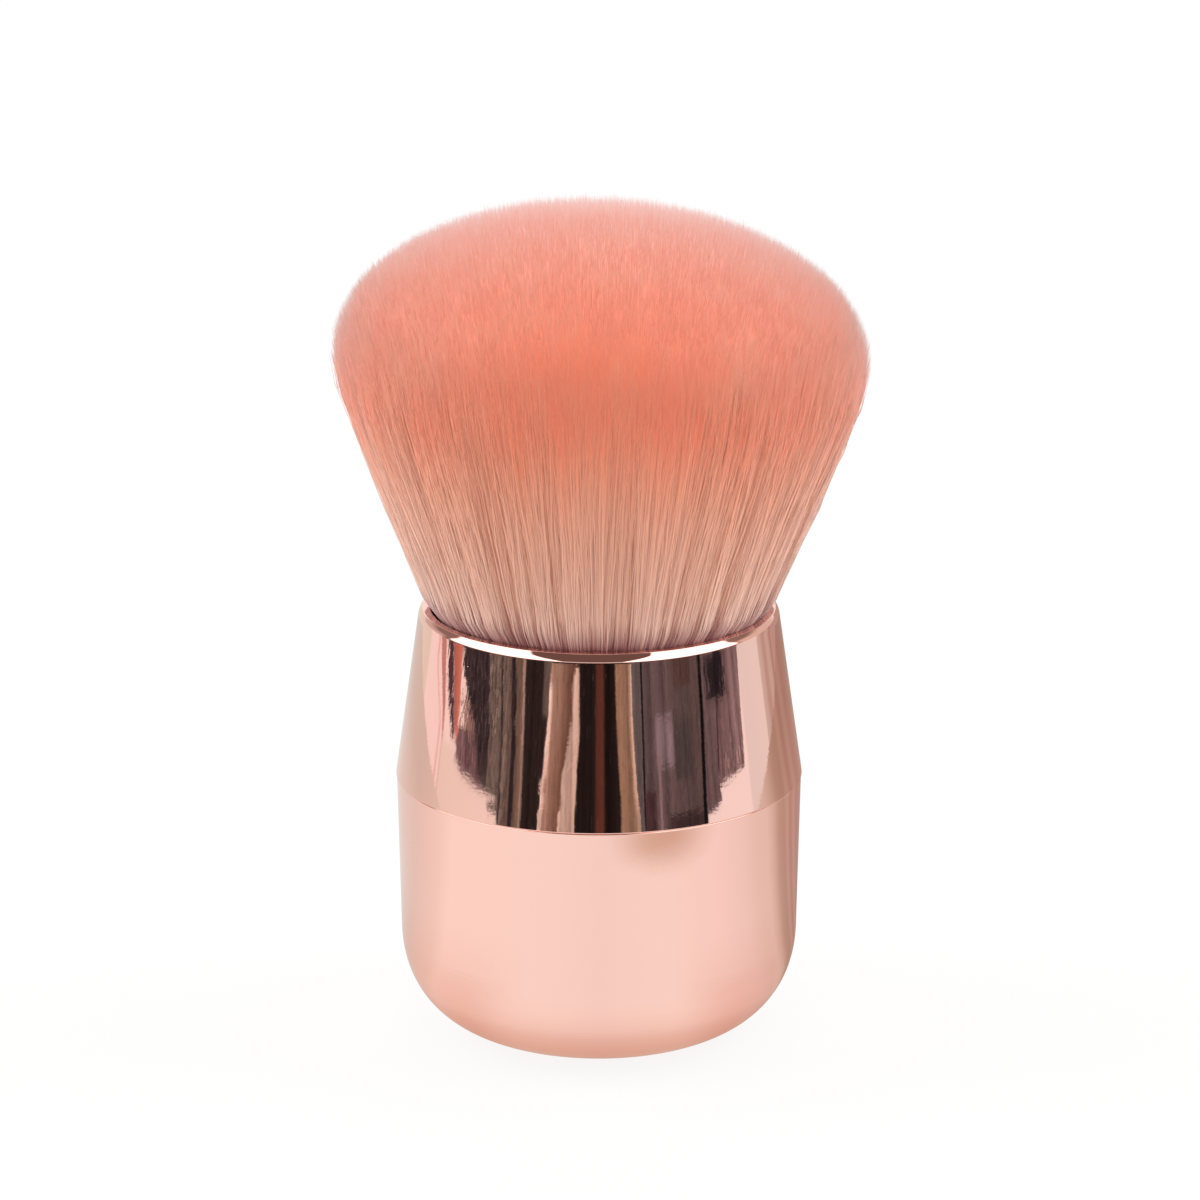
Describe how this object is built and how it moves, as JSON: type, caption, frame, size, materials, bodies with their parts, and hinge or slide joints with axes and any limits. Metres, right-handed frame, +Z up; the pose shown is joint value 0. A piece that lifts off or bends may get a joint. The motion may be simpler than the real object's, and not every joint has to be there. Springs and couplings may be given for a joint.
{
  "type": "blush brush",
  "caption": "Stubby kabuki blush brush that stands on its foot, with a rounded rose-gold mirror handle and a domed fan of coral bristles.",
  "frame": {"origin": "centre of the flat foot, on the surface that the brush stands on", "axes": "+Z up the brush's axis, from the foot to the bristles; the brush is round, so X and Y are free"},
  "size_m": [0.0508, 0.0508, 0.0807],
  "materials": {
    "base_plating": "polished",
    "collar_plating": "polished",
    "cup_plastic": "satin",
    "bristle_glue": "gloss",
    "weight_adhesive": "satin",
    "weight_steel": "matte",
    "bristle": "matte"
  },
  "bodies": {
    "root": {"base_cup": "base_plating", "collar": "collar_plating", "tuft_cup": "cup_plastic", "glue_plug": "bristle_glue", "weight_adhesive": "weight_adhesive", "counterweight": "weight_steel", "bristle_tuft": "bristle"}
  },
  "joints": []
}
